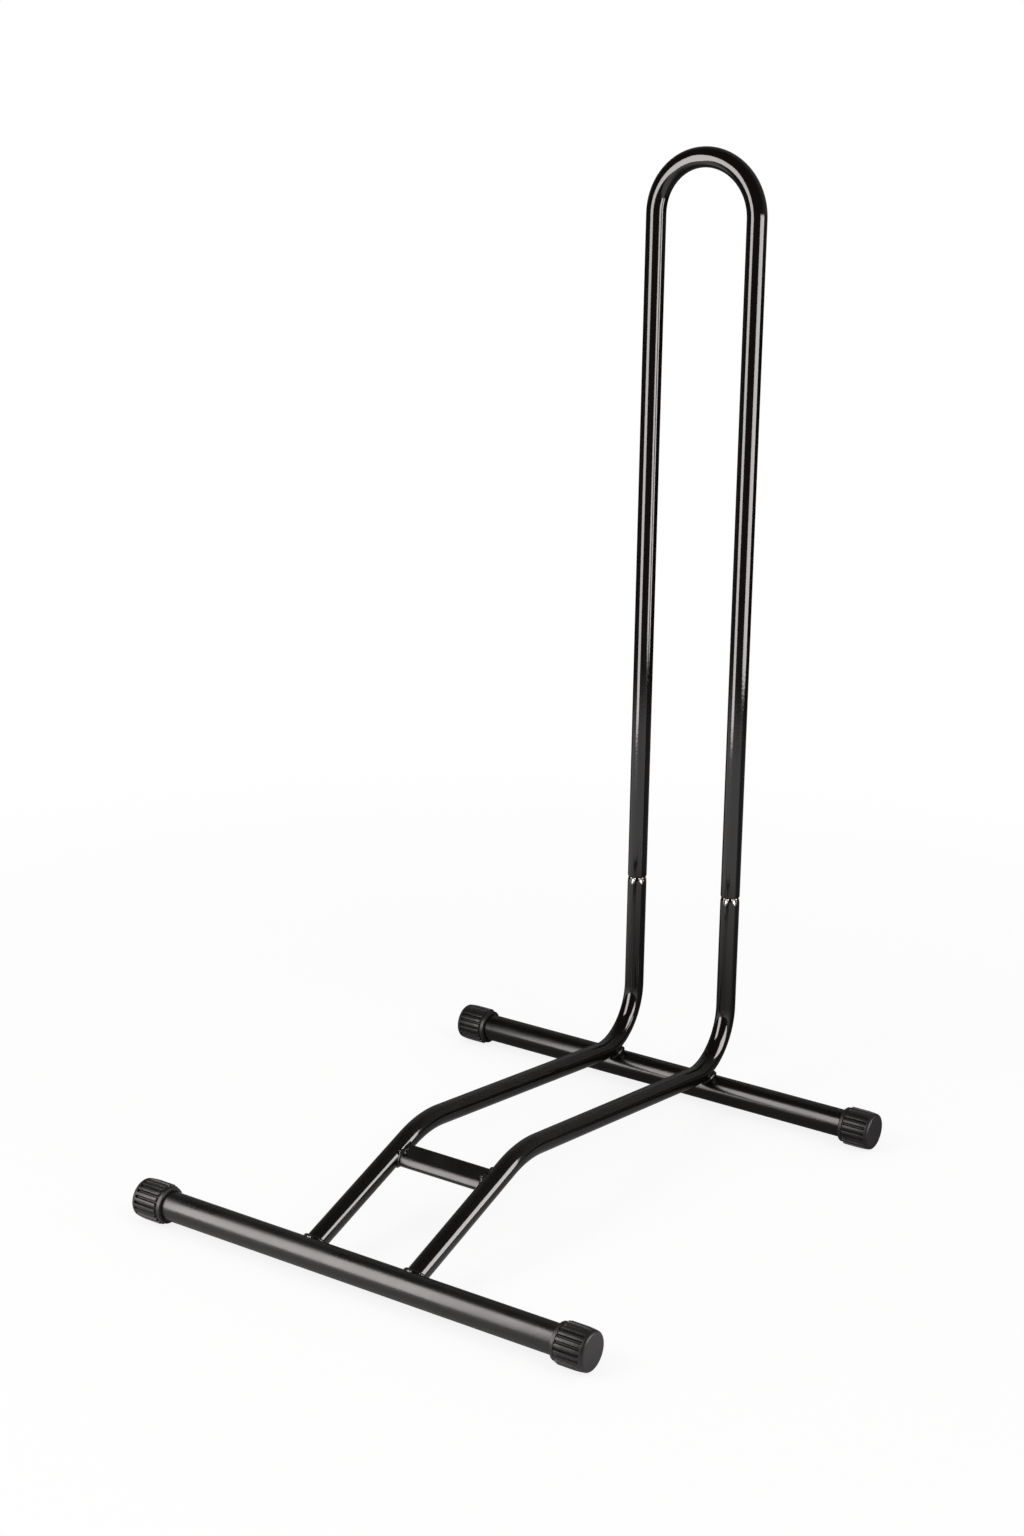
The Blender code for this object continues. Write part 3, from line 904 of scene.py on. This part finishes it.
# Painted shade: the sheet is darker close to the posts.
painted_post_shade = add_node(
    tree, "ShaderNodeMapRange",
    {"interpolation_type": "SMOOTHSTEP", "From Min": 0.15, "From Max": 0.6,
     "To Min": 0.3, "To Max": 0.95},
    {"Value": off_post.outputs["Value"]},
)
sheet_end = add_node(
    tree, "ShaderNodeMapRange",
    {"interpolation_type": "SMOOTHSTEP", "From Min": 1.0, "From Max": 1.4,
     "To Min": 1.0, "To Max": 0.06},
    {"Value": off_post.outputs["Value"]},
)
axes = add_node(tree, "ShaderNodeSeparateXYZ", {}, {0: place})
sheet_back = add_node(
    tree, "ShaderNodeMapRange",
    {"From Min": 0.15, "From Max": 0.35, "To Min": 1.0, "To Max": 0.15},
    {"Value": axes.outputs["Y"]},
)
sheet_tone = add_node(
    tree, "ShaderNodeMath", {"operation": "MULTIPLY"},
    {0: painted_post_shade.outputs[0], 1: sheet_end.outputs[0]},
)
floor_tone = add_node(
    tree, "ShaderNodeMath", {"operation": "MULTIPLY"},
    {0: sheet_tone.outputs[0], 1: sheet_back.outputs[0]},
)
wall_tone = add_node(
    tree, "ShaderNodeMapRange",
    {"From Min": 0.3, "From Max": 3.0, "To Min": 0.04, "To Max": 0.3},
    {"Value": axes.outputs["Y"]},
)
on_wall = add_node(
    tree, "ShaderNodeMapRange", {"From Min": 0.1, "From Max": 0.8}, {"Value": axes.outputs["Z"]}
)
cloth_tone = add_node(
    tree, "ShaderNodeMix", {},
    {0: on_wall.outputs[0], 2: floor_tone.outputs[0], 3: wall_tone.outputs[0]},
)
weave = add_node(tree, "ShaderNodeBsdfDiffuse", {}, {"Color": cloth_tone.outputs[0]})
add_node(tree, "ShaderNodeOutputMaterial", {}, {"Surface": weave.outputs[0]})
tent.data.materials.append(cloth)
tent.visible_camera = False
tent.visible_diffuse = False
tent.visible_transmission = False
tent.visible_shadow = False


def softbox(name, place, aim, wide, tall, power, mirrored):
    """A soft lamp at a place, turned to a point. It is either one that the coat mirrors, or one
    that gives the even light and the soft shadow."""
    way = Vector(place) - Vector(aim)
    bpy.ops.object.light_add(
        type="AREA", location=place, rotation=way.to_track_quat("Z", "Y").to_euler()
    )
    lamp = bpy.context.object
    lamp.name = name
    lamp.data.shape = "RECTANGLE"
    lamp.data.size = wide
    lamp.data.size_y = tall
    lamp.data.energy = power
    lamp.data.color = linear("#fffaf8")[:3]
    lamp.visible_camera = False
    lamp.visible_glossy = mirrored
    lamp.visible_diffuse = not mirrored


softbox(
    "left_softbox_mirrored", place=(-0.36, -0.64, 0.56), aim=(0, 0.02, 0.56),
    wide=0.49, tall=1.05, power=15.4, mirrored=True,
)
softbox(
    "right_softbox_mirrored", place=(1.0, 0.21, 0.43), aim=(0, 0.21, 0.43),
    wide=0.78, tall=0.66, power=15.5, mirrored=True,
)
softbox(
    "left_softbox_fill", place=(-0.9, -1.4, 1.3), aim=(0, 0, 0.2),
    wide=1.0, tall=1.0, power=13, mirrored=False,
)
softbox(
    "right_softbox_fill", place=(1.6, -0.2, 1.5), aim=(0, 0, 0.2),
    wide=1.0, tall=1.2, power=10, mirrored=False,
)

# The camera.
# It stands where the photograph was taken: to the stand's front right and a little above it.

azimuth = math.radians(33.712)
elevation = math.radians(16.871)
roll = math.radians(0.769)
distance = 1.9033
target = Vector((-0.0135, -0.0102, 0.3360))
back = Vector((
    math.sin(azimuth) * math.cos(elevation),
    -math.cos(azimuth) * math.cos(elevation),
    math.sin(elevation),
))
right = Vector((math.cos(azimuth), math.sin(azimuth), 0))
up = back.cross(right)
right, up = (
    right * math.cos(roll) + up * math.sin(roll),
    up * math.cos(roll) - right * math.sin(roll),
)
bpy.ops.object.camera_add(
    location=target + back * distance,
    rotation=Matrix((right, up, back)).transposed().to_euler(),
)
camera = bpy.context.object
camera.name = "photograph_camera"
camera.data.sensor_width = 36.0
camera.data.lens = 59.62
bpy.context.scene.camera = camera
bpy.context.scene.view_settings.view_transform = "Standard"
